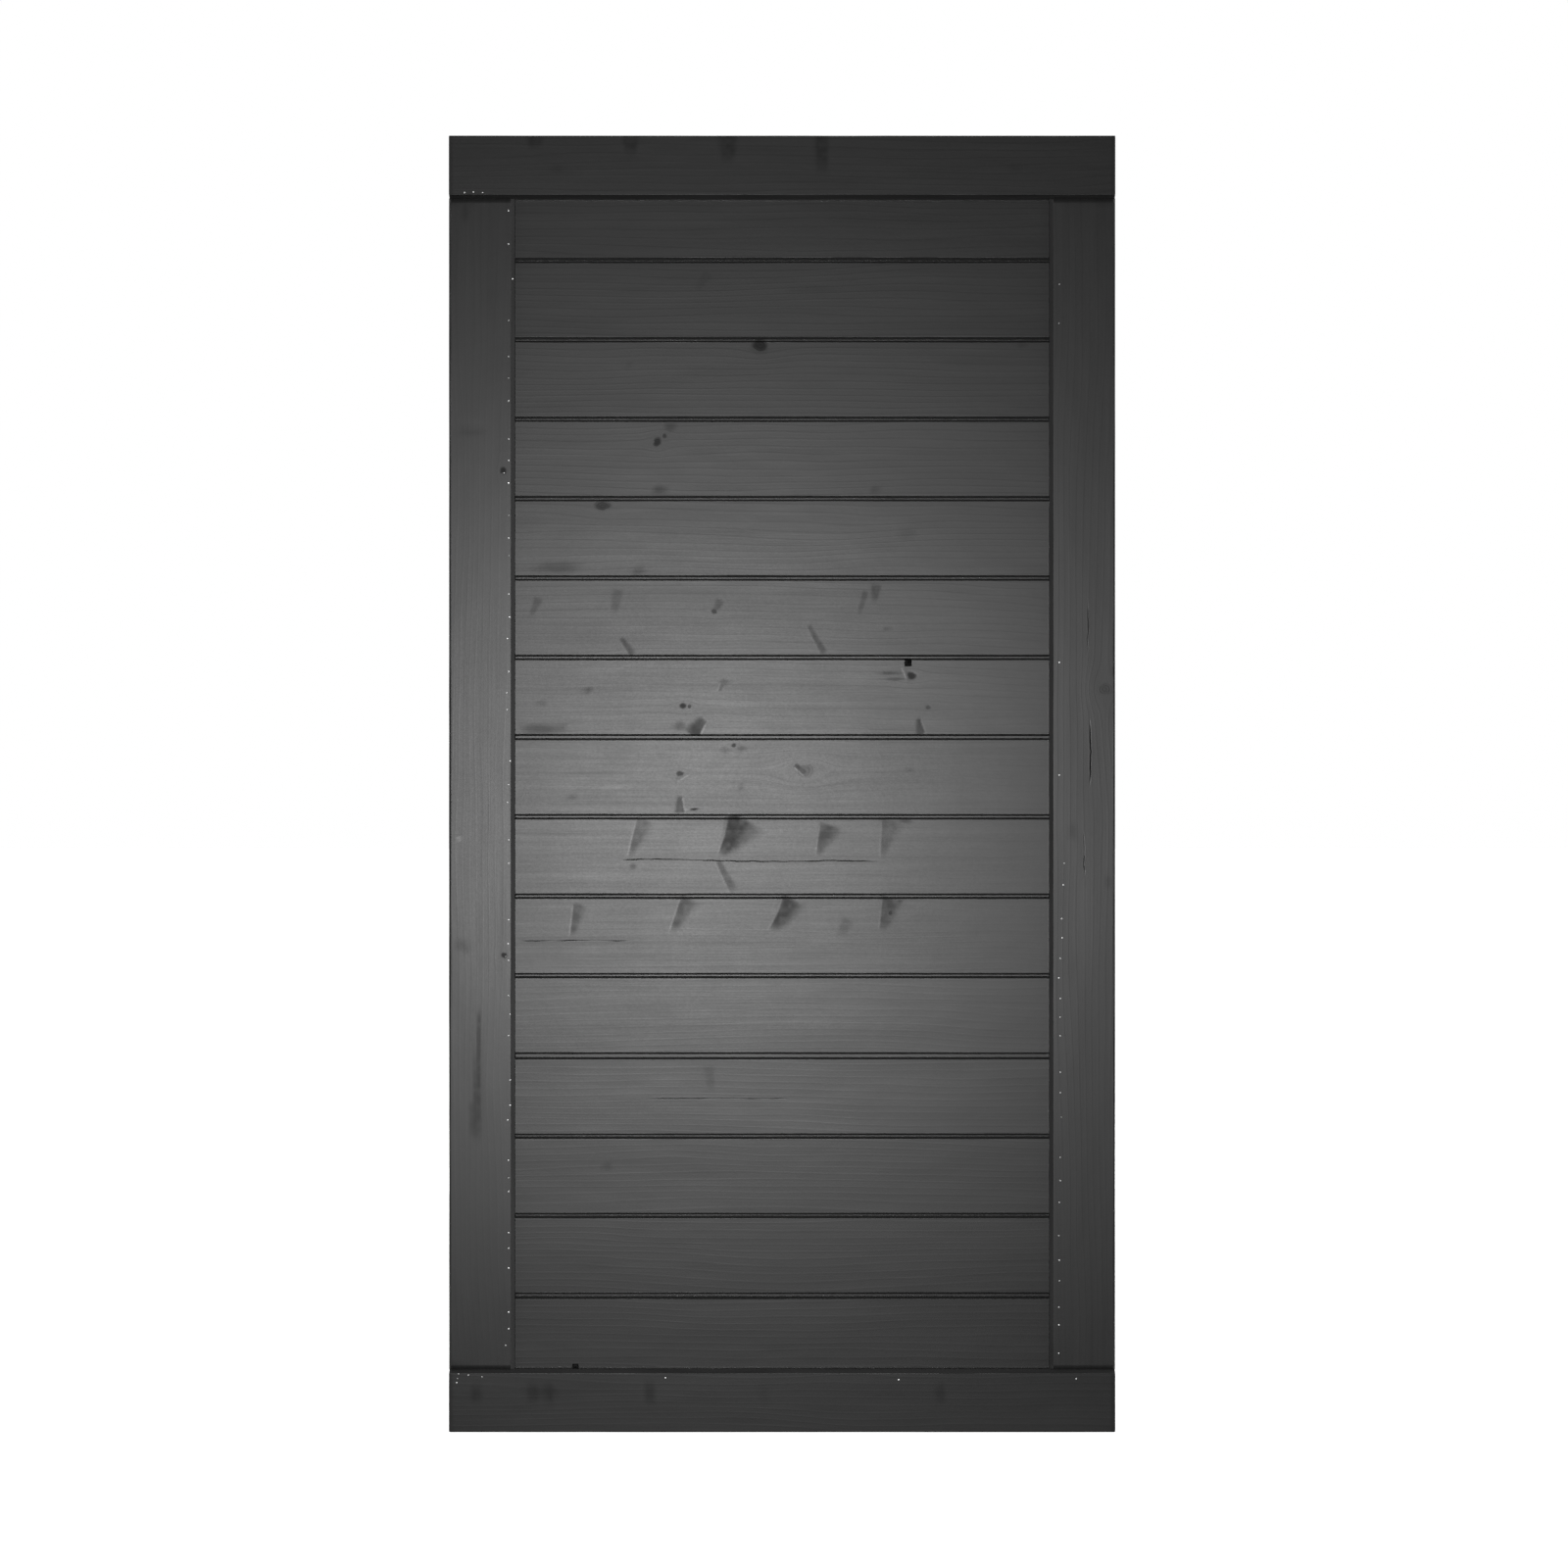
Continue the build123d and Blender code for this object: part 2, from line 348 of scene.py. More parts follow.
                m = 1 - smooth(0.82, 1.05, dd)
                relief += words.get("d", 0.004) * m * (0.85 + 0.15 * vnoise(U / 0.003, Va / 0.0012, seed + 32))
                # painted shade: the chip's hollow is painted fully dark
                dark = np.maximum(dark, m)
        fields[side] = (relief, dark, ring, warp, gloss, Va)

    F, B = front[None, :], back[None, :]
    near = 1.0 * (Y < 0)
    relief = fields["F"][0] * near * 1.0
    dark = np.where(Y < 0, fields["F"][1], fields["B"][1])
    ring = np.where(Y < 0, fields["F"][2], fields["B"][2])
    warp = np.where(Y < 0, fields["F"][3], fields["B"][3])
    gloss = np.where(Y < 0, fields["F"][4], fields["B"][4])
    Vn = np.where(F, fields["F"][5], np.where(B, fields["B"][5], V))
    mid_v = (vmin + vmax) / 2
    half_v = (vmax - vmin) / 2
    s = (V - mid_v) / half_v
    # gentle cupping, a lean of the face, and a long bow, the same for the whole section
    lean = cup * (1 - s * s) + tilt * s * half_v
    long = bow * np.sin(math.pi * (U - u0) / (u1 - u0))
    wave = 0.00016 * vnoise(U / 0.17, V / 0.05, seed + 1) + 0.00005 * vnoise(U / 0.05, V / 0.016, seed + 2)
    SURFACE[name] = lambda u, v: (cup * (1 - ((v - mid_v) / half_v) ** 2) + tilt * (v - mid_v) + bow * math.sin(math.pi * (u - u0) / (u1 - u0))
                                  + 0.00016 * float(vnoise(u / 0.17, v / 0.05, seed + 1)) + 0.00005 * float(vnoise(u / 0.05, v / 0.016, seed + 2)))
    face = F | B
    dy = lean + long
    sign = np.where(Y < 0, 1.0, -1.0)
    Y2 = Y + dy + sign * wave * np.where(face, 1.0, 0.6)
    chipped = np.abs(Y) > 0.5 * np.abs(py).max()
    Y2 = Y2 + np.where(Y < 0, fields["F"][0], -fields["B"][0]) * chipped
    V2 = Vn + 0.00010 * vnoise(U / 0.06, np.repeat(np.arange(nv)[None, :] / 4.0, nu, 0), seed + 3) * (~face)

    # ends
    rings = []
    U2 = U.copy()
    if ends == "visible":
        # sawn and lightly eased end: draw the last two sections in
        for idx, f in ((0, 1.0), (1, 0.25), (nu - 1, 1.0), (nu - 2, 0.25)):
            ins = end_round * f
            cv, cy = mid_v, 0.0
            V2[idx] = V2[idx] - np.sign(V2[idx] - cv) * np.minimum(ins, np.abs(V2[idx] - cv)) * (np.abs(V2[idx] - cv) > half_v - 0.006)
            Y2[idx] = Y2[idx] - np.sign(Y2[idx]) * np.minimum(ins, np.abs(Y2[idx])) * (np.abs(Y[idx]) > T / 2 - 0.006)
    elif ends == "shoulder":
        # the stile's ends carry the same chamfer as the rails they meet
        lim = T / 2 - JOINT
        for idx, f in ((0, 1.0), (1, 0.70), (2, 0.02), (nu - 1, 1.0), (nu - 2, 0.70), (nu - 3, 0.02)):
            m = T / 2 - (T / 2 - lim) * f
            Y2[idx] = np.clip(Y2[idx], -m, m)

    if axis == "X":
        P = np.stack([U2, Y2, V2], -1)
    else:
        P = np.stack([V2, Y2, U2], -1)

    verts = P.reshape(-1, 3)
    ids = np.arange(nu * nv).reshape(nu, nv)
    a = ids[:-1, :]
    b = ids[1:, :]
    quads = np.stack([a, np.roll(a, -1, 1), np.roll(b, -1, 1), b], -1).reshape(-1, 4)
    flip = False
    attr = {
        "gc": np.stack([U, Vn + warp, np.where(F, 0.0, np.where(B, 0.13, 0.31)) + 0 * U + seed * 1.37], -1).reshape(-1, 3),
        "dark": dark.reshape(-1), "ring": ring.reshape(-1), "gloss": gloss.reshape(-1),
        "endg": np.zeros(nu * nv),
        # painted light: the inner chamfers are lightened, most on the hanging stile, less on the bottom rail, least on
        # the closing stile
        "chamfer_light": (CHAMFER_LIGHT.get(name, 0.0) * (~face) * (np.abs(Y) > 0.0165) * (np.abs(V - (vmax if inner_is_high(name) else vmin)) < 0.0056)).astype(float).reshape(-1),
    }
    # end caps: rings drawn in to a centre line, so that the sawn end is a real surface
    caps_v, caps_f, base = [], [], len(verts)
    extra = {k: [] for k in attr}
    for end, row in (("a", 0), ("b", nu - 1)):
        loop = ids[row]
        ring_pts = verts[loop]
        centre = ring_pts.mean(0)
        prev = list(loop)
        steps = 4 if ends == "visible" else 1
        outward = -1 if end == "a" else 1
        for k in range(1, steps):
            f = 1 - k / steps
            pts = centre + (ring_pts - centre) * f
            if ends == "visible":
                amp = 0.00012 * vnoise(pts[:, 0] / 0.004 + pts[:, 1] / 0.003, pts[:, 2] / 0.003, seed + 40 + k)
                pts[:, 0 if axis == "X" else 2] += -outward * (0.00008 + amp)
            new = list(range(base + len(caps_v), base + len(caps_v) + len(pts)))
            caps_v.extend(pts.tolist())
            for key in extra:
                src = attr[key][loop]
                extra[key].extend(src.tolist())
            for j in range(nv):
                q = (prev[j], prev[(j + 1) % nv], new[(j + 1) % nv], new[j])
                caps_f.append(q if end == "b" else q[::-1])
            prev = new
        c = base + len(caps_v)
        caps_v.append(centre.tolist())
        for key in extra:
            extra[key].append(attr[key][loop].mean(0).tolist() if key == "gc" else float(attr[key][loop].mean()))
        for j in range(nv):
            t = (prev[j], prev[(j + 1) % nv], c)
            caps_f.append(t if end == "b" else t[::-1])
    n_side = len(quads)
    all_v = np.concatenate([verts, np.array(caps_v)]) if caps_v else verts
    faces = [tuple(q) for q in quads.tolist()] + caps_f
    for key in attr:
        attr[key] = np.concatenate([attr[key], np.array(extra[key])])
    endg_face = np.zeros(len(faces), bool)
    endg_face[n_side:] = True

    me = bpy.data.meshes.new(name + "_timber")
    me.from_pydata(all_v.tolist(), [], faces)
    me.validate()
    me.update()
    for key, val in attr.items():
        if key == "endg":
            continue
        if key == "gc":
            at_ = me.attributes.new("gc", "FLOAT_VECTOR", "POINT")
            at_.data.foreach_set("vector", val.astype(np.float32).reshape(-1))
        else:
            at_ = me.attributes.new(key, "FLOAT", "POINT")
            at_.data.foreach_set("value", val.astype(np.float32))
    ob = bpy.data.objects.new(name + "_timber", me)
    bpy.context.scene.collection.objects.link(ob)
    # outward normals, smooth faces with real edges kept
    import bmesh
    bm = bmesh.new()
    bm.from_mesh(me)
    bmesh.ops.recalc_face_normals(bm, faces=bm.faces)
    for f in bm.faces:
        f.smooth = True
    for e in bm.edges:
        if len(e.link_faces) == 2:
            e.smooth = e.calc_face_angle(0) < math.radians(50)
    for f in bm.faces:
        if f.index >= n_side:
            f.material_index = 1 if ends == "visible" else 0
    bm.to_mesh(me)
    bm.free()
    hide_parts(name)
    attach(ob, "root")
    return ob


def tag(points, side_of):
    return [(p[0], p[1], side_of(p)) for p in points]


def rail_outline(top):
    """Section of a rail: (v, y). The groove for the boards is on the inner edge."""
    h = T / 2
    g = BT / 2
    if top:
        zi, zo, ao = ZT, Z1, TOPA
        s = 1
    else:
        zi, zo, ao = ZB, Z0, FOOT
        s = -1
    pts = [
        (zi + s * INNER, -h), (zo - s * ao, -h), (zo, -h + ao), (zo, h - ao), (zo - s * ao, h),
        (zi + s * INNER, h), (zi, h - INNER), (zi, g), (zi + s * GROOVE, g), (zi + s * GROOVE, -g), (zi, -g), (zi, -h + INNER),
    ]
    rad = [0.00035, 0.0003, 0.0003, 0.0003, 0.0003, 0.00035, 0.00035, 0.0003, 0, 0, 0.0003, 0.00035]
    out = rounded(pts, rad)
    tagged = []
    for v, y in out:
        side = ""
        if abs(y + h) < 1e-6:
            side = "F"
        elif abs(y - h) < 1e-6:
            side = "B"
        elif abs(v - (zi + s * GROOVE)) < 1e-6:
            side = "G"
        tagged.append((v, y, side))
    return tagged


def stile_outline(left):
    h, g = T / 2, BT / 2
    if left:
        xo, xi, s = 0.0, STILE, 1
    else:
        xo, xi, s = W, W - STILE, -1
    pts = [
        (xo + s * OUTER, -h), (xi - s * INNER, -h), (xi, -h + INNER), (xi, -g), (xi - s * GROOVE, -g), (xi - s * GROOVE, g),
        (xi, g), (xi, h - INNER), (xi - s * INNER, h), (xo + s * OUTER, h), (xo, h - OUTER), (xo, -h + OUTER),
    ]
    rad = [0.00035, 0.00035, 0.00035, 0.0003, 0, 0, 0.0003, 0.00035, 0.00035, 0.00035, 0.0003, 0.0003]
    out = rounded(pts, rad)
    return [(v, y, "F" if abs(y + h) < 1e-6 else "B" if abs(y - h) < 1e-6 else "") for v, y in out]


def board_outline(n):
    b = BT / 2
    zh = ZT + GROOVE - PLAY if n == 1 else joint_z(n - 1) - joint_gap(n - 1) / 2
    zl = ZB - GROOVE + PLAY if n == 15 else joint_z(n) + joint_gap(n) / 2
    pts, rad = [], []
    if n == 15:
        pts += [(zl, b), (zl, -b)]
        rad += [0, 0]
    else:
        pts += [(zl + VCH, b), (zl, b - VCH), (zl, SLOT_T / 2), (zl + SLOT_D, SLOT_T / 2), (zl + SLOT_D, -SLOT_T / 2),
                (zl, -SLOT_T / 2), (zl, -b + VCH), (zl + VCH, -b)]
        rad += [0.0003, 0.0003, 0.0003, 0, 0, 0.0003, 0.0003, 0.0003]
    if n == 1:
        pts += [(zh, -b), (zh, b)]
        rad += [0, 0]
    else:
        pts += [(zh - VCH, -b), (zh, -b + VCH), (zh, -TONGUE_T / 2), (zh + TONGUE_L, -TONGUE_T / 2),
                (zh + TONGUE_L, TONGUE_T / 2), (zh, TONGUE_T / 2), (zh, b - VCH), (zh - VCH, b)]
        rad += [0.0003, 0.0003, 0, 0.0005, 0.0005, 0, 0.0003, 0.0003]
    out = rounded(pts, rad)
    return [(v, y, "F" if abs(y + b) < 1e-6 else "B" if abs(y - b) < 1e-6 else "") for v, y in out]


# ---------------------------------------------------------------------------
# Knots, smears, torn grain, cracks and chips, where the leaf shows them
# ---------------------------------------------------------------------------
SOFT = dict(edge=(0.8, 0.8), soft=(0.15, 0.5))
WEDGE = dict(edge=(0.5, 1.6), soft=(0.10, 0.30), rim=0.36, sink=0.00003)

for x, y0, y1, w in ((546, 137, 154, (15, 9)), (643.5, 136, 162, (15, 7)), (743, 136, 171, (17, 8)), (838.6, 136, 182, (11, 10))):
    mark("top_rail", "spike", (x, y0), (x, y1), w=w, dark=0.50, **SOFT)
mark("top_rail", "smudge", 568, 173, r=(9, 6), dark=0.15)
mark("top_rail", "smudge", 1035, 171, r=(9, 6), dark=0.15)

mark("board_02", "spike", (722, 280), (708, 298), w=(8, 6), dark=0.16, **SOFT)
mark("board_03", "knot", 775.5, 352.6, r=(8, 6.5), dark=0.75, lift=-0.00006)
mark("board_03", "smudge", 641, 372.5, r=(5, 4), dark=0.2)
mark("board_03", "smudge", 1043, 352, r=(6, 4), dark=0.2)
mark("board_04", "knot", 670.6, 451.4, r=(3.5, 5), dark=0.7, a=-20)
mark("board_04", "knot", 678, 445, r=(2, 3), dark=0.5)
mark("board_04", "smudge", 683.7, 436, r=(8, 6), dark=0.32)
mark("board_04", "smudge", 672, 500, r=(9, 6), dark=0.35)
mark("board_04", "smudge", 893, 500, r=(6, 5), dark=0.25)
mark("board_05", "knot", 615, 516, r=(8, 5), dark=0.55)
mark("board_05", "smudge", 570, 579, r=(30, 7), dark=0.30)
mark("board_05", "smudge", 652, 583, r=(10, 6), dark=0.30)
mark("board_05", "smudge", 925, 545, r=(12, 8), dark=0.12)
mark("board_06", "spike", (549, 612), (540, 632), w=(7, 3), dark=0.30, **SOFT)
mark("board_06", "spike", (630, 603), (626, 630), w=(9, 5), dark=0.22, **SOFT)
mark("board_06", "knot", 728.8, 624, r=(3, 3), dark=0.5)
mark("board_06", "spike", (735, 613), (729, 624), w=(7, 4), dark=0.30, **SOFT)
mark("board_06", "spike", (894, 598), (892, 616), w=(8, 4), dark=0.38, **SOFT)
mark("board_06", "spike", (883, 605), (876, 630), w=(5, 3), dark=0.28, **SOFT)
mark("board_06", "spike", (634, 652), (646, 668), w=(3.5, 6), dark=0.45, edge=(0.4, 0.9), soft=(0.1, 0.1), rim=0.2)
mark("board_06", "spike", (826, 640), (841, 667), w=(3.5, 6), dark=0.38, edge=(0.4, 0.9), soft=(0.1, 0.1), rim=0.2)
mark("board_06", "smudge", 905, 642, r=(4, 3), dark=0.3)
mark("board_07", "chip", 926.6, 676.2, r=(3.3, 3.6), d=0.0055)
mark("board_07", "knot", 930, 689.5, r=(4.6, 4), dark=0.75, lift=-0.00006, flow=1.4)
mark("board_07", "smudge", 908, 687, r=(14, 2.2), dark=0.35)
mark("board_07", "smudge", 912, 693, r=(16, 1.8), dark=0.38)
mark("board_07", "spike", (922, 681), (927, 693), w=(3, 2), dark=0.0, edge=(0.5, 0.5), rim=0.6, sink=-0.00005)
mark("board_07", "smudge", 600, 704, r=(5, 4), dark=0.3)
mark("board_07", "smudge", 552.5, 717.5, r=(6, 5), dark=0.16)
mark("board_07", "smudge", 739, 696, r=(7, 4), dark=0.25)
mark("board_07", "spike", (737.5, 697), (734, 706), w=(3, 2.5), dark=0.30, edge=(0.4, 0.8), rim=0.25, sink=0.00003)
mark("board_07", "knot", 697, 720.5, r=(3.8, 3), dark=0.7, flow=1.6)
mark("board_07", "knot", 703.5, 721, r=(2, 2), dark=0.5)
mark("board_07", "smudge", 552, 744, r=(28, 7), dark=0.36)
mark("board_07", "spike", (716, 736), (706, 750), w=(8, 14), dark=0.62, edge=(0.9, 0.3), soft=(0.25, 0.02), rim=0.6, sink=0.00004)
mark("board_07", "smudge", 693, 741, r=(7, 6), dark=0.28)
mark("board_07", "knot", 947, 722, r=(3, 2.4), dark=0.35)
mark("board_07", "spike", (937, 735), (940, 749), w=(4, 8), dark=0.55, edge=(0.25, 0.9), soft=(0.2, 0.02), rim=0.35, flip=True)
mark("board_07", "smudge", 750, 719.5, r=(26, 3), dark=-0.10)
mark("board_08", "knot", 693.7, 789.4, r=(4.0, 2.6), dark=0.55, flow=2.0, lift=0.00003)
mark("board_08", "spike", (702, 789), (688, 797), w=(2, 3), dark=0.12, rim=0.3)
mark("board_08", "knot", 820.7, 787, r=(9, 6.5), dark=0.22, flow=2.2, lift=0.00005)
mark("board_08", "spike", (812, 781), (823, 790), w=(3.5, 5), dark=0.55, edge=(0.4, 0.7), rim=0.5, sink=0.00004)
mark("board_08", "knot", 748.8, 760.7, r=(2.4, 2), dark=0.55)
mark("board_08", "smudge", 756.8, 764, r=(7, 4), dark=0.28)
mark("board_08", "smudge", 740, 766, r=(8, 5), dark=0.16)
mark("board_08", "smudge", 583.5, 813.5, r=(7, 4), dark=0.22)
mark("board_08", "spike", (693.7, 815), (694, 829), w=(4, 8), dark=0.5, edge=(0.3, 0.9), soft=(0.3, 0.02), rim=0.3, flip=True)
mark("board_08", "smudge", 708.6, 825.9, r=(5.5, 1.6), dark=0.95)
mark("board_08", "smudge", 927, 786, r=(4, 4), dark=0.25)
mark("board_08", "smudge", 756, 803, r=(5, 5), dark=0.18)
mark("board_08", "smudge", 627, 803, r=(28, 3), dark=-0.10)
mark("board_08", "smudge", 600, 782, r=(70, 2), dark=-0.06)
mark("board_08", "smudge", 600, 789, r=(50, 1.6), dark=0.12)
mark("board_09", "spike", (656, 838), (642, 876), w=(12, 3), dark=0.34, **WEDGE)
mark("board_09", "spike", (755, 836), (734, 874), w=(26, 4), dark=0.70, curve=-2.0, **WEDGE)
mark("board_09", "spike", (845, 843), (834.5, 873), w=(16, 3), dark=0.50, **WEDGE)
mark("board_09", "spike", (908, 838), (900, 876), w=(16, 2.5), dark=0.30, **WEDGE)
mark("board_09", "spike", (732.7, 879), (750, 912), w=(4, 8), dark=0.30, edge=(0.4, 0.8), soft=(0.05, 0.3), rim=0.2)
mark("board_09", "smudge", 924, 838, r=(9, 3), dark=0.35)
mark("board_09", "smudge", 646, 884, r=(4, 3), dark=0.3)
mark("board_09", "crack", [(632, 877.2), (690, 876.8), (734, 878.6), (800, 879.2), (850, 878.2), (903, 879.4)], w=0.00035, d=0.0005, dark=0.55)
mark("board_10", "spike", (590, 924), (583, 957), w=(9, 3), dark=0.36, **WEDGE)
mark("board_10", "spike", (701, 918), (685, 953), w=(12, 4), dark=0.42, **WEDGE)
mark("board_10", "spike", (806, 918), (787, 950), w=(16, 6), dark=0.60, curve=-2.0, **WEDGE)
mark("board_10", "spike", (908, 918), (900, 950), w=(15, 5), dark=0.50, **WEDGE)
mark("board_10", "knot", 908.5, 931.5, r=(2.5, 3), dark=0.6)
mark("board_10", "smudge", 918, 920, r=(4, 3), dark=0.5)
mark("board_10", "spike", (866, 940), (856, 957), w=(10, 6), dark=0.18, **SOFT)
mark("board_10", "crack", [(528, 960.4), (560, 960.0), (600, 959.6), (644, 960.4)], w=0.00035, d=0.0003, dark=0.40)
mark("board_12", "spike", (723, 1090), (727, 1118), w=(9, 5), dark=0.16, **SOFT)
mark("board_12", "crack", [(658, 1121.6), (720, 1120.8), (808, 1121.4)], w=0.00035, d=0.0003, dark=0.30)
mark("board_13", "smudge", 620, 1190, r=(8, 6), dark=0.2)
mark("board_15", "smudge", 895, 1336, r=(7, 1.4), dark=0.7)
mark("board_15", "chip", 587, 1394, r=(3.0, 2.0), d=0.003)
for x, d, r in ((486, 0.42, (7, 15)), (545, 0.40, (9, 15)), (561, 0.42, (8, 15)), (663, 0.38, (7, 17)), (780, 0.14, (8, 14)), (960, 0.34, (6, 14))):
    mark("bottom_rail", "smudge", x, 1422, r=r, dark=d)
mark("hanging_stile", "smudge", 483, 431, r=(17, 5), dark=-0.10)
mark("hanging_stile", "smudge", 480, 441, r=(18, 5), dark=0.16)
mark("hanging_stile", "smudge", 475, 217, r=(5, 12), dark=0.3)
mark("hanging_stile", "spike", (489, 1038), (486, 1168), w=(3, 8), dark=0.38, edge=(0.9, 0.9), soft=(0.1, 0.2))
mark("hanging_stile", "smudge", 485, 1140, r=(7, 26), dark=0.36)
mark("hanging_stile", "knot", 513.4, 480.4, r=(3.5, 3.5), dark=0.75)
mark("hanging_stile", "knot", 514.5, 974.8, r=(3, 3), dark=0.75)
mark("hanging_stile", "smudge", 489, 792, r=(2, 2), dark=0.5)
mark("hanging_stile", "spike", (468, 854), (466.5, 862), w=(1.2, 0.8), dark=0.0, rim=1.1, sink=-0.00008)
mark("hanging_stile", "spike", (471.5, 853), (471.5, 859), w=(1.2, 0.8), dark=0.0, rim=1.3, sink=-0.00008)
mark("hanging_stile", "smudge", 471, 965, r=(12, 9), dark=0.18)
mark("closing_stile", "crack", [(1110, 614), (1110.4, 640), (1109.7, 668)], w=0.0004, d=0.0008, dark=0.6)
mark("closing_stile", "crack", [(1112.6, 733), (1113, 766), (1112.5, 802)], w=0.0005, d=0.0014, dark=0.9)
mark("closing_stile", "crack", [(1106.5, 848), (1106.9, 870), (1106.4, 898)], w=0.0004, d=0.0008, dark=0.6)
mark("closing_stile", "smudge", 1136.5, 685, r=(1.4, 8), dark=0.9)
mark("closing_stile", "knot", 1128, 703, r=(7, 6), dark=0.22, flow=1.5)
mark("closing_stile", "smudge", 1095, 848, r=(6, 12), dark=0.16)
mark("closing_stile", "smudge", 1130.6, 900.7, r=(5, 8), dark=0.16)

# the back, which carries marks of the same kinds
for k, (x, y, rx, ry) in enumerate(((600, 300, 6, 5), (900, 392, 7, 5), (700, 470, 4, 4), (980, 545, 6, 5), (640, 700, 7, 6), (820, 790, 8, 6),
                                    (930, 868, 5, 4), (580, 955, 7, 5), (760, 1040, 6, 5), (960, 1120, 5, 4), (690, 1205, 7, 6), (860, 1285, 5, 4))):
    row = max(1, min(15, int((y - 186) // 81.4) + 1))
    mark(f"board_{row:02d}#back", "knot", x, y, r=(rx, ry), dark=0.5, flow=1.3, lift=0.00003)
mark("top_rail#back", "knot", 700, 168, r=(7, 6), dark=0.5)
mark("bottom_rail#back", "smudge", 900, 1425, r=(9, 14), dark=0.35)
mark("hanging_stile#back", "knot", 488, 700, r=(7, 8), dark=0.5)
mark("closing_stile#back", "crack", [(1110, 560), (1110.4, 600), (1109.7, 660)], w=0.0005, d=0.0010, dark=0.7)


# ---------------------------------------------------------------------------
# Build the timber
# ---------------------------------------------------------------------------
made = {}
gx0, gx1 = STILE - GROOVE, W - STILE + GROOVE
made["top_rail"] = build("top_rail", "X", 0.0, W, rail_outline(True), 11, slot_range=(gx0, gx1), ends="visible")
made["bottom_rail"] = build("bottom_rail", "X", 0.0, W, rail_outline(False), 23, slot_range=(gx0, gx1), ends="visible")
made["hanging_stile"] = build("hanging_stile", "Z", ZB, ZT, stile_outline(True), 37, tilt=0.008, ends="shoulder", end_round=JOINT)
made["closing_stile"] = build("closing_stile", "Z", ZB, ZT, stile_outline(False), 53, tilt=-0.003, ends="shoulder", end_round=JOINT)
# each board has cupped and turned a little in its own way
LEAN = {1: (0.0, 0.000), 2: (0.0001, 0.001), 3: (0.0001, -0.001), 4: (0.0002, -0.002), 5: (-0.0001, -0.001), 6: (0.0001, 0.001),
        7: (0.0002, -0.002), 8: (-0.0001, 0.001), 9: (0.0002, -0.002), 10: (0.0001, -0.001), 11: (-0.0001, 0.001),
        12: (0.0002, 0.0015), 13: (0.0001, 0.001), 14: (-0.0001, 0.0005), 15: (0.0001, 0.0)}
for n in range(1, 16):
    key = f"board_{n:02d}"
    made[key] = build(key, "X", gx0 + PLAY, gx1 - PLAY, board_outline(n), 60 + 7 * n, cup=LEAN[n][0], tilt=LEAN[n][1],
                      ends="flat", end_round=0)


# ---------------------------------------------------------------------------
# Pin heads along the stiles, driven through into the boards' ends
# ---------------------------------------------------------------------------
LEFT_PINS = [(519, 215), (519, 249), (523, 284.5), (519, 327), (519, 363.7), (519, 386), (519, 409), (519, 448), (519, 470), (519, 493),
             (519, 526), (519, 549), (519, 567), (519, 606), (520, 629.8), (517.8, 651.7), (519, 685), (517, 707), (517.4, 724),
             (520.6, 776.5), (519, 800.4), (518, 819), (519, 857), (519, 881), (519, 938.6), (518.5, 963), (519, 980), (519, 1016),
             (520.5, 1035), (519, 1057), (520.5, 1102), (520.5, 1128), (518, 1143), (519, 1184), (519, 1202), (519, 1216), (519, 1258),
             (519, 1274), (519, 1294), (519, 1339), (519, 1356), (516, 1373)]
RIGHT_PINS = [(1081, 290), (1080.5, 330), (1081, 676), (1081, 791), (1086, 881), (1085, 903), (1083.5, 937.7), (1084, 957), (1082, 978),
              (1080.5, 998), (1082, 1019), (1082, 1038), (1082, 1057), (1082, 1094), (1082, 1115), (1083, 1140), (1082, 1181), (1082, 1205),
              (1081, 1227), (1080.5, 1261), (1081, 1286), (1081, 1307), (1080.5, 1334), (1080.5, 1352), (1080.5, 1381)]
RAIL_PINS = [(468, 1402), (478, 1403), (492, 1405), (679, 1406), (467, 1407), (466, 1411), (917, 1408), (1098, 1407),
             (474, 196.6), (483, 196), (492.5, 196.6)]
STRAY_PINS = [(514.3, 482.6), (515.8, 976)]


def pins(name, spots, member_of, seed):
    rng = np.random.RandomState(seed)
    verts, faces = [], []
    seg = 12
    for px, py in spots:
        x, z = at(px, py)
        member = member_of(x, z)
        u, v = (x, z) if member.endswith("rail") else (z, x)
        y0 = -T / 2 + SURFACE[member](u, v)
        r = 0.00085 + 0.00030 * rng.rand()
        lean_x, lean_z = rng.uniform(-0.2, 0.2, 2)
        base = len(verts)
        rows = [(0.62, 0.0016), (0.66, 0.0002), (0.98, -0.00006), (1.0, -0.00016), (0.86, -0.00034), (0.48, -0.00042)]
        for f, d in rows:
            for k in range(seg):
                t = 2 * math.pi * k / seg
                wob = 1 + 0.05 * math.sin(3 * t + px)
                dx, dz = r * f * wob * math.cos(t), r * f * wob * math.sin(t)
                verts.append((x + dx, y0 + d + dx * lean_x + dz * lean_z, z + dz))
        for i in range(len(rows) - 1):
            for k in range(seg):
                a, b = base + i * seg + k, base + i * seg + (k + 1) % seg
                faces.append((a, b, b + seg, a + seg))
        faces.append(tuple(base + k for k in range(seg))[::-1])
        top = len(verts)
        verts.append((x, y0 - 0.00044, z))
        for k in range(seg):
            faces.append((base + 5 * seg + k, base + 5 * seg + (k + 1) % seg, top))
    me = bpy.data.meshes.new(name)
    me.from_pydata(verts, [], faces)
    me.validate()
    import bmesh
    bm = bmesh.new()
    bm.from_mesh(me)
    bmesh.ops.recalc_face_normals(bm, faces=bm.faces)
    for f in bm.faces:
        f.smooth = True
    bm.to_mesh(me)
    bm.free()
    ob = bpy.data.objects.new(name, me)
    bpy.context.scene.collection.objects.link(ob)
    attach(ob, "root")
    return ob


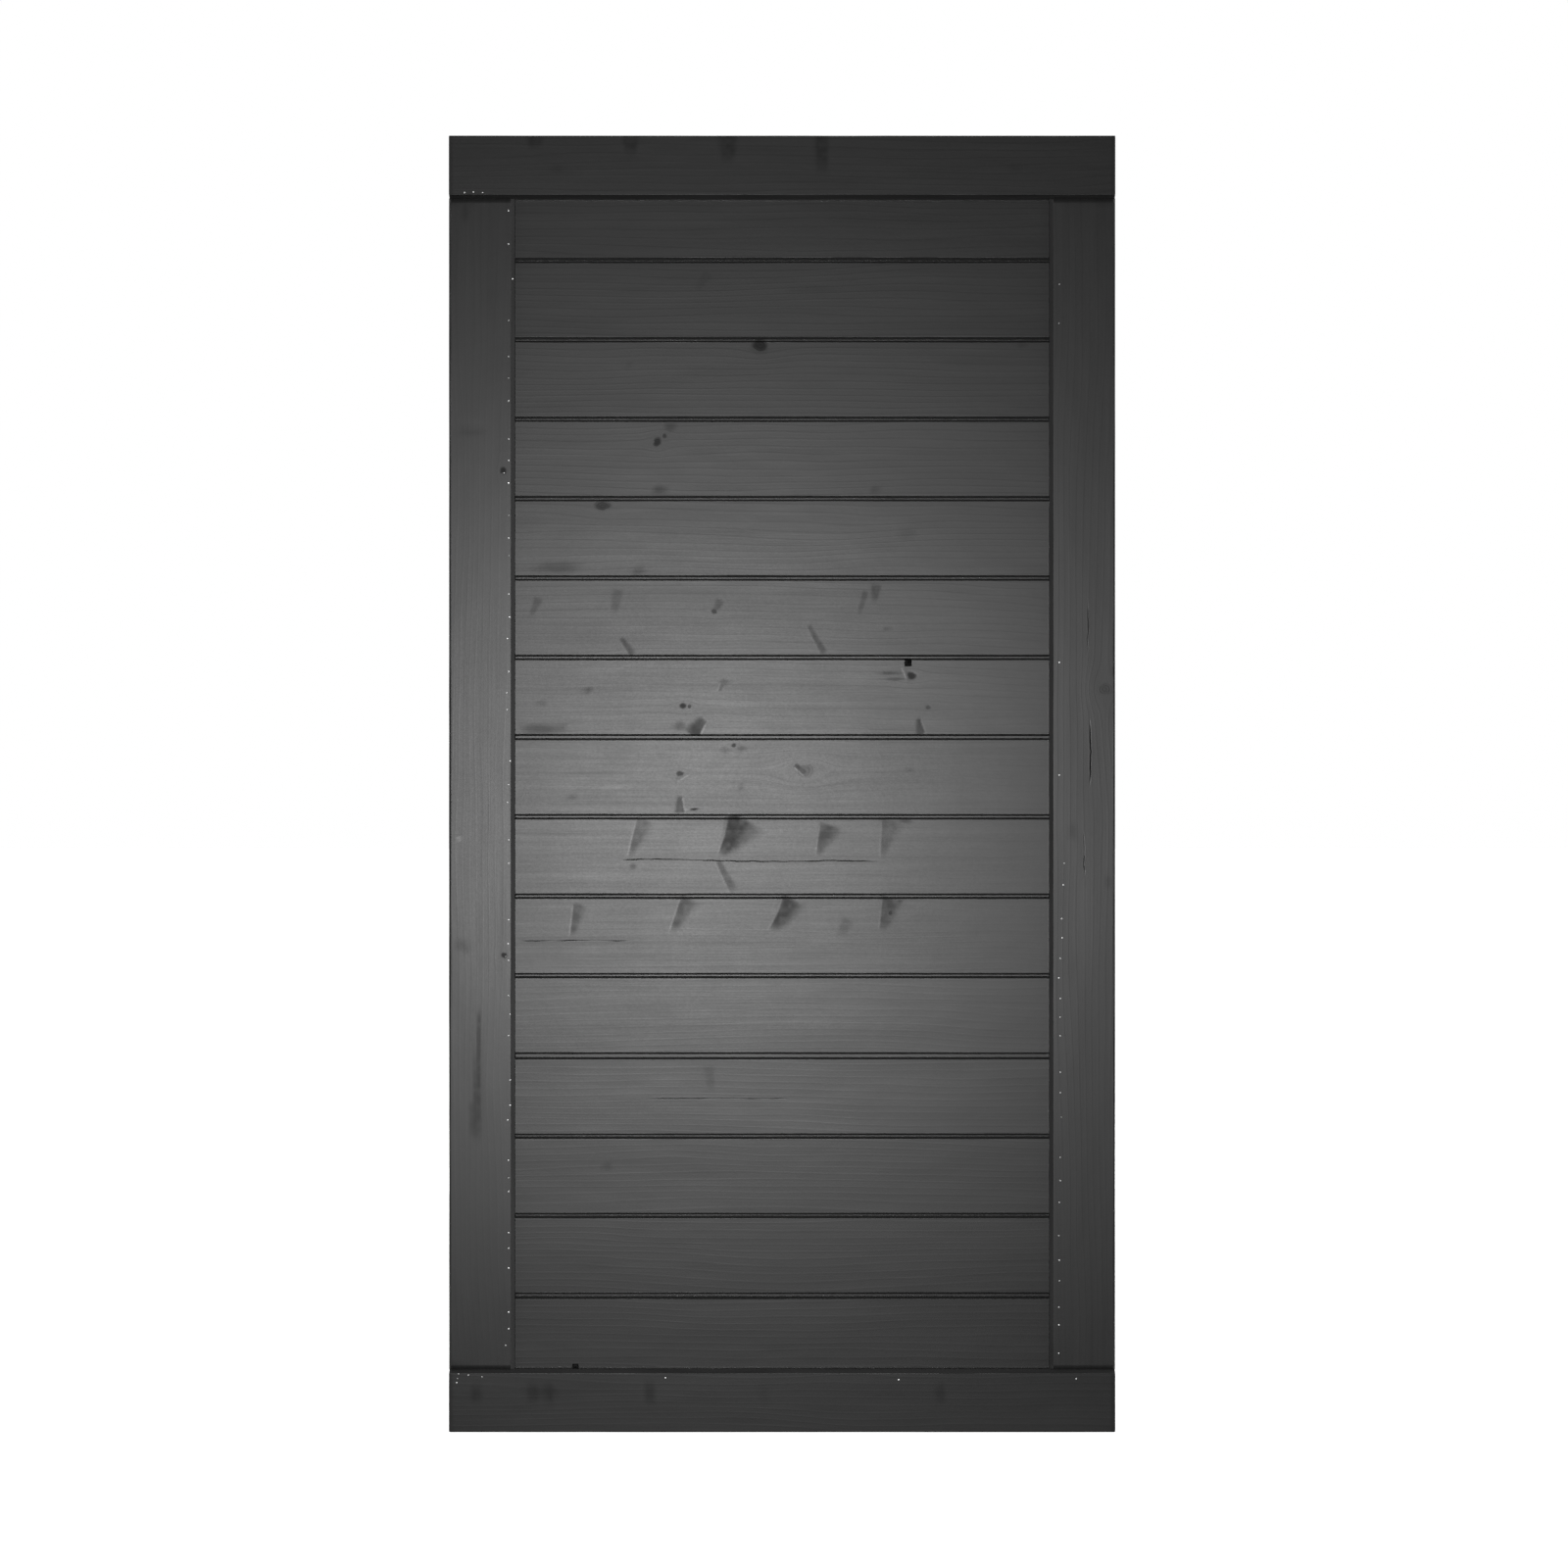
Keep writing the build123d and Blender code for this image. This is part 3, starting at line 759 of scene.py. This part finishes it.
pin_sets = [
    pins("pin_heads_left", LEFT_PINS + STRAY_PINS, lambda x, z: "hanging_stile", 5),
    pins("pin_heads_right", RIGHT_PINS, lambda x, z: "closing_stile", 6),
    pins("pin_heads_rails", RAIL_PINS, lambda x, z: "top_rail" if z > 0 else "bottom_rail", 7),
]


# ---------------------------------------------------------------------------
# Black satin paint over softwood
# ---------------------------------------------------------------------------
class Tree:
    def __init__(self, name):
        self.mat = bpy.data.materials.new(name)
        self.mat.use_nodes = True
        self.t = self.mat.node_tree
        self.t.nodes.clear()
        self.out = self.t.nodes.new("ShaderNodeOutputMaterial")
        self.bsdf = self.t.nodes.new("ShaderNodeBsdfPrincipled")
        self.t.links.new(self.bsdf.outputs[0], self.out.inputs[0])

    def link(self, a, b):
        self.t.links.new(a, b)

    def val(self, node, name, x):
        sock = node.inputs[name]
        if hasattr(x, "is_output"):
            self.t.links.new(x, sock)
        else:
            sock.default_value = x

    def attr(self, name, vector=False):
        n = self.t.nodes.new("ShaderNodeAttribute")
        n.attribute_name = name
        return n.outputs["Vector" if vector else "Fac"]

    def math(self, op, a, b=0.0, c=0.0, clamp=False):
        n = self.t.nodes.new("ShaderNodeMath")
        n.operation = op
        n.use_clamp = clamp
        for i, x in enumerate((a, b, c)):
            if hasattr(x, "is_output"):
                self.t.links.new(x, n.inputs[i])
            else:
                n.inputs[i].default_value = x
        return n.outputs[0]

    def vmath(self, op, a, b=(0, 0, 0)):
        n = self.t.nodes.new("ShaderNodeVectorMath")
        n.operation = op
        for i, x in enumerate((a, b)):
            if hasattr(x, "is_output"):
                self.t.links.new(x, n.inputs[i])
            else:
                n.inputs[i].default_value = x
        return n.outputs[0]

    def noise(self, vec, scale, detail=2.0, rough=0.5, distortion=0.0):
        n = self.t.nodes.new("ShaderNodeTexNoise")
        n.inputs["Scale"].default_value = scale
        n.inputs["Detail"].default_value = detail
        n.inputs["Roughness"].default_value = rough
        n.inputs["Distortion"].default_value = distortion
        self.t.links.new(vec, n.inputs["Vector"])
        return n.outputs["Fac"]

    def ramp(self, fac, stops, smooth_=True):
        n = self.t.nodes.new("ShaderNodeValToRGB")
        n.color_ramp.interpolation = "EASE" if smooth_ else "LINEAR"
        el = n.color_ramp.elements
        while len(el) < len(stops):
            el.new(0.5)
        for e, (p, c) in zip(el, stops):
            e.position = p
            e.color = (c, c, c, 1) if not isinstance(c, tuple) else (*c, 1)
        self.t.links.new(fac, n.inputs[0])
        return n.outputs[0]

    def remap(self, x, a, b, c, d):
        n = self.t.nodes.new("ShaderNodeMapRange")
        n.clamp = True
        for i, v in enumerate((x, a, b, c, d)):
            if hasattr(v, "is_output"):
                self.t.links.new(v, n.inputs[i])
            else:
                n.inputs[i].default_value = v
        return n.outputs[0]


def painted(name, base=0.013, rough=0.44):
    t = Tree(name)
    gc = t.attr("gc", True)
    dark = t.attr("dark")
    ring = t.attr("ring")
    gloss = t.attr("gloss")
    chamfer_light = t.attr("chamfer_light")
    streak_c = t.vmath("MULTIPLY", gc, (2.2, 120.0, 1.0))
    streak = t.noise(streak_c, 1.0, 5.0, 0.62)
    fine_c = t.vmath("MULTIPLY", gc, (14.0, 900.0, 1.0))
    fine = t.noise(fine_c, 1.0, 2.0, 0.5)
    low_c = t.vmath("MULTIPLY", gc, (1.6, 9.0, 1.0))
    low = t.noise(low_c, 1.0, 2.0, 0.5, 0.3)
    sep = t.t.nodes.new("ShaderNodeSeparateXYZ")
    t.link(gc, sep.inputs[0])
    phase = t.math("MULTIPLY_ADD", low, 5.5, t.math("MULTIPLY", sep.outputs["Y"], 105.0))
    saw = t.math("FRACT", phase)
    late = t.ramp(saw, [(0.0, 0.0), (0.55, 0.15), (0.86, 1.0), (1.0, 0.0)])
    geo = t.t.nodes.new("ShaderNodeNewGeometry")
    peel = t.noise(geo.outputs["Position"], 560.0, 2.0, 0.6)
    mottle = t.noise(geo.outputs["Position"], 330.0, 3.0, 0.7)
    cloud = t.noise(geo.outputs["Position"], 14.0, 4.0, 0.6)
    film = t.noise(geo.outputs["Position"], 75.0, 3.0, 0.6)
    # rings inside a knot
    rn = t.math("SINE", t.math("MULTIPLY", ring, 16.0))
    inside = t.remap(ring, 0.9, 1.15, 1.0, 0.0)
    rings = t.math("MULTIPLY", rn, inside)
    # height of the paint surface
    h = t.math("MULTIPLY", streak, 0.000055)
    h = t.math("MULTIPLY_ADD", late, 0.000022, h)
    h = t.math("MULTIPLY_ADD", fine, 0.000014, h)
    h = t.math("MULTIPLY_ADD", peel, 0.000012, h)
    h = t.math("MULTIPLY_ADD", film, 0.000045, h)
    h = t.math("MULTIPLY_ADD", rings, 0.000020, h)
    bump = t.t.nodes.new("ShaderNodeBump")
    bump.inputs["Strength"].default_value = 1.0
    bump.inputs["Distance"].default_value = 1.0
    t.link(h, bump.inputs["Height"])
    t.link(bump.outputs[0], t.bsdf.inputs["Normal"])
    # roughness
    r = t.math("MULTIPLY_ADD", cloud, 0.035, rough - 0.0175)
    r = t.math("MULTIPLY_ADD", streak, 0.08, t.math("SUBTRACT", r, 0.105))
    r = t.math("MULTIPLY_ADD", mottle, 0.085, r)
    r = t.math("MULTIPLY_ADD", fine, 0.045, r)
    # the same inner chamfers are made rougher
    r = t.math("MULTIPLY_ADD", chamfer_light, 0.20, r)
    r = t.math("MULTIPLY_ADD", dark, 0.10, r)
    r = t.math("SUBTRACT", r, t.math("MULTIPLY", gloss, 0.045))
    t.link(t.math("MAXIMUM", t.math("MINIMUM", r, 0.9), 0.25), t.bsdf.inputs["Roughness"])
    # colour
    k = t.math("MULTIPLY_ADD", streak, 0.35, 0.82)
    k = t.math("MULTIPLY_ADD", late, -0.10, k)
    # dark: the knots' and smears' own darker tone, and painted shade in the cracks and chip hollows
    k = t.math("MULTIPLY", k, t.math("MULTIPLY_ADD", dark, -0.65, 1.0))
    # painted light: the inner chamfers' colour is lightened where they face the lamp
    k = t.math("MULTIPLY", k, t.math("MULTIPLY_ADD", chamfer_light, 1.6, 1.0))
    k = t.math("MULTIPLY", k, base)
    comb = t.t.nodes.new("ShaderNodeCombineColor")
    for i in range(3):
        t.link(k, comb.inputs[i])
    t.link(comb.outputs[0], t.bsdf.inputs["Base Color"])
    t.link(t.math("MULTIPLY", t.math("MULTIPLY_ADD", dark, -0.85, t.math("MULTIPLY_ADD", gloss, 0.7, 1.0)), 0.5, clamp=True), t.bsdf.inputs["Specular IOR Level"])
    t.bsdf.inputs["IOR"].default_value = 1.5
    return t.mat


def zinc(name):
    t = Tree(name)
    geo = t.t.nodes.new("ShaderNodeNewGeometry")
    n = t.noise(geo.outputs["Position"], 900.0, 3.0, 0.6)
    paint = t.noise(geo.outputs["Position"], 260.0, 1.0, 0.5)
    worn = t.remap(paint, 0.30, 0.42, 0.25, 1.0)
    k = t.math("MULTIPLY", worn, t.math("MULTIPLY_ADD", n, 0.25, 0.72))
    comb = t.t.nodes.new("ShaderNodeCombineColor")
    for i in range(3):
        t.link(k, comb.inputs[i])
    t.link(comb.outputs[0], t.bsdf.inputs["Base Color"])
    t.bsdf.inputs["Metallic"].default_value = 0.55
    t.link(t.math("MULTIPLY_ADD", n, 0.2, 0.30), t.bsdf.inputs["Roughness"])
    bump = t.t.nodes.new("ShaderNodeBump")
    bump.inputs["Distance"].default_value = 0.00005
    t.link(n, bump.inputs["Height"])
    t.link(bump.outputs[0], t.bsdf.inputs["Normal"])
    return t.mat


pin_metal = zinc("zinc_pin_heads")
for ob in pin_sets:
    ob.data.materials.append(pin_metal)

paint_frame = painted("black_paint_frame")
paint_boards = painted("black_paint_boards")
paint_end = painted("black_paint_end_grain", 0.018, 0.56)
for key, ob in made.items():
    ob.data.materials.clear()
    mat = paint_frame if not key.startswith("board") else paint_boards
    ob.data.materials.append(mat)
    if key.endswith("rail"):
        ob.data.materials.append(paint_end)

# ---------------------------------------------------------------------------
# Floor, light and camera
# ---------------------------------------------------------------------------
def plain(name, diffuse, glow):
    t = Tree(name)
    t.bsdf.inputs["Base Color"].default_value = (*diffuse, 1)
    t.bsdf.inputs["Roughness"].default_value = 0.9
    t.bsdf.inputs["Emission Color"].default_value = (1, 1, 1, 1)
    t.bsdf.inputs["Emission Strength"].default_value = glow
    return t.mat


bpy.ops.mesh.primitive_plane_add(size=60, location=(W / 2, 0, Z0 - 0.0005))
floor = bpy.context.object
floor.name = "studio_floor"
floor.data.materials.append(plain("pale_floor", (0.9, 0.9, 0.9), 1.0))
floor.visible_diffuse = False
floor.visible_glossy = False

world = bpy.data.worlds.new("studio")
bpy.context.scene.world = world
world.use_nodes = True
wt = world.node_tree
wt.nodes.clear()
wo = wt.nodes.new("ShaderNodeOutputWorld")
mix = wt.nodes.new("ShaderNodeMixShader")
seen = wt.nodes.new("ShaderNodeBackground")
seen.inputs["Color"].default_value = (1, 1, 1, 1)
seen.inputs["Strength"].default_value = 1.0
dim = wt.nodes.new("ShaderNodeBackground")
dim.inputs["Color"].default_value = (1, 1, 1, 1)
# pale studio walls to the left and right, dark behind the camera
wc = wt.nodes.new("ShaderNodeTexCoord")
ws = wt.nodes.new("ShaderNodeSeparateXYZ")
wt.links.new(wc.outputs["Generated"], ws.inputs[0])


def wmath(op, a, b=0.0):
    n = wt.nodes.new("ShaderNodeMath")
    n.operation = op
    for i, x in enumerate((a, b)):
        if hasattr(x, "is_output"):
            wt.links.new(x, n.inputs[i])
        else:
            n.inputs[i].default_value = x
    return n.outputs[0]


def wstep(x, a, b):
    n = wt.nodes.new("ShaderNodeMapRange")
    n.interpolation_type = "SMOOTHSTEP"
    wt.links.new(x, n.inputs[0])
    n.inputs[1].default_value, n.inputs[2].default_value = a, b
    return n.outputs[0]


side = wmath("ABSOLUTE", ws.outputs[0])
walls = wmath("MULTIPLY", wstep(side, 0.52, 0.74), wmath("SUBTRACT", 1.0, wstep(side, 0.86, 0.95)))
wt.links.new(wmath("ADD", wmath("MULTIPLY", walls, 1.0), 0.018), dim.inputs["Strength"])
lp = wt.nodes.new("ShaderNodeLightPath")
wt.links.new(lp.outputs["Is Camera Ray"], mix.inputs[0])
wt.links.new(dim.outputs[0], mix.inputs[1])
wt.links.new(seen.outputs[0], mix.inputs[2])
wt.links.new(mix.outputs[0], wo.inputs[0])


def softbox(name, where, target, size, power, shape="DISK"):
    data = bpy.data.lights.new(name, "AREA")
    data.shape = shape
    data.size = size
    data.energy = power
    ob = bpy.data.objects.new(name, data)
    bpy.context.scene.collection.objects.link(ob)
    ob.location = where
    ob.rotation_mode = "QUATERNION"
    ob.rotation_quaternion = (Vector(target) - Vector(where)).to_track_quat("-Z", "Y")
    ob.visible_camera = False
    return ob


CAM_D = 3.35
CX, CZ = (798.2 - 457.9) * PX, 0.0
flash = softbox("front_flash", (0.205, -T / 2 - CAM_D, -0.095), (0.39, 0, -0.06), 0.22, 22.5)
flash.data.spread = math.radians(95)
softbox("back_fill", (CX - 0.5, 3.2, 0.35), (CX, 0, 0), 0.9, 40.0)
softbox("side_left", (-2.6, 3.4, 0.4), (0.1, 0, 0), 1.0, 60.0)
softbox("side_right", (3.5, 3.4, 0.4), (0.8, 0, 0), 1.0, 60.0)
softbox("top_fill", (CX, 3.5, 4.0), (CX, 0, 0.6), 1.2, 60.0)

cam_data = bpy.data.cameras.new("camera")
cam = bpy.data.objects.new("camera", cam_data)
bpy.context.scene.collection.objects.link(cam)
cam_data.sensor_fit = "HORIZONTAL"
cam_data.sensor_width = 36.0
span = 1600 * PX
cam_data.lens = 36.0 * CAM_D / span
cam.location = ((800 - 457.9) * PX, -T / 2 - CAM_D, 0.0)
cam.rotation_euler = (math.pi / 2, 0, 0)
bpy.context.scene.camera = cam
cam_data.clip_start = 0.05
cam_data.clip_end = 200

vs = bpy.context.scene.view_settings
vs.view_transform = "Standard"
vs.look = "None"
vs.exposure = 0.0
vs.gamma = 1.0
